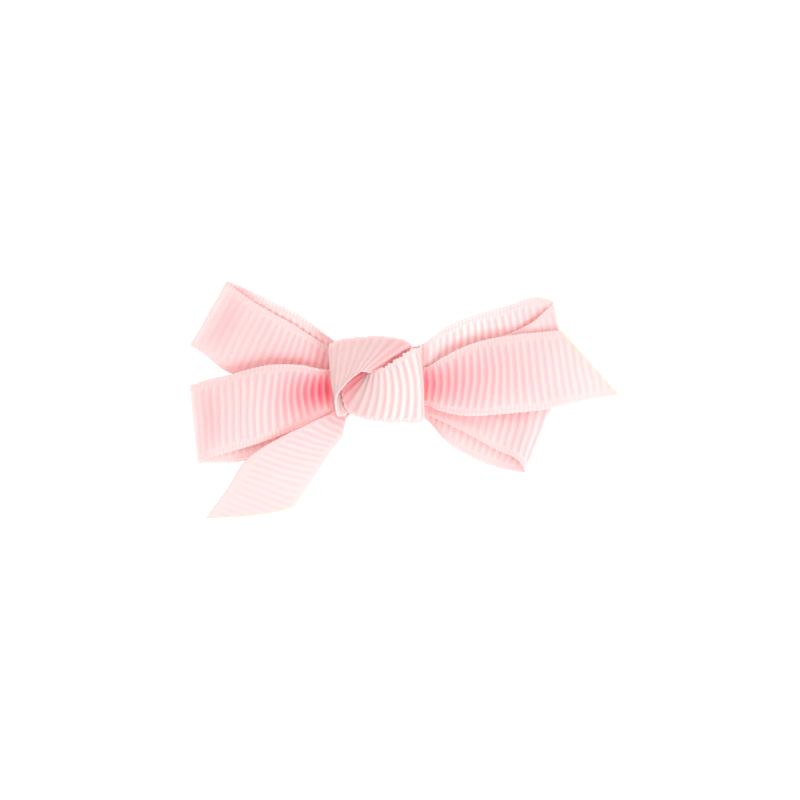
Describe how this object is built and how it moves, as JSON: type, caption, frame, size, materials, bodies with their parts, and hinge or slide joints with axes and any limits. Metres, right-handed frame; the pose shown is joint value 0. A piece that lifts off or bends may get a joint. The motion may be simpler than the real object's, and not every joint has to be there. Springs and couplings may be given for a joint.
{
  "type": "hair bow",
  "caption": "Hair bow of folded ribbed ribbon loops with two slanted tails and a knotted centre, on a sprung single-prong clip.",
  "frame": {"origin": "on the flat underside of the clip's lower jaw, straight below the middle of the knot", "axes": "+X to the right of the bow's front, towards the clip's handles; +Y up the front; +Z out of the front, away from the clip"},
  "size_m": [0.0608, 0.0335, 0.0142],
  "materials": {
    "ribbon": "soft matt ribbed grosgrain weave, pale pink",
    "knot_ribbon": "soft matt ribbed grosgrain weave, pale pink",
    "liner_ribbon": "matt ribbed grosgrain weave, glued flat",
    "thread": "twisted polyester sewing thread",
    "steel": "nickel-plated pressed sheet steel",
    "spring_steel": "drawn spring wire, dull bright",
    "grip": "matt translucent silicone",
    "glue": "clear set hot-melt glue"
  },
  "bodies": {
    "jaw": {"lower_jaw": "steel", "hinge_pin": "steel", "spring_coil": "spring_steel"},
    "bow": {"upper_arm": "steel", "spring_upper_leg": "spring_steel", "clip_liner": "liner_ribbon", "grip_pad": "grip", "left_glue_pad": "glue", "right_glue_pad": "glue", "back_loops": "ribbon", "front_loops": "ribbon", "tails": "ribbon", "binding_thread": "thread", "knot": "knot_ribbon", "knot_glue": "glue"}
  },
  "joints": [
    {"name": "jaw_hinge", "type": "hinge", "parent": "jaw", "child": "bow", "pos_m": [0.0125, 0, 0.0033], "axis": [0, 1, 0], "range_deg": [0, 22], "stiffness_Nm_per_rad": 0.04, "springref_deg": -40.11}
  ]
}
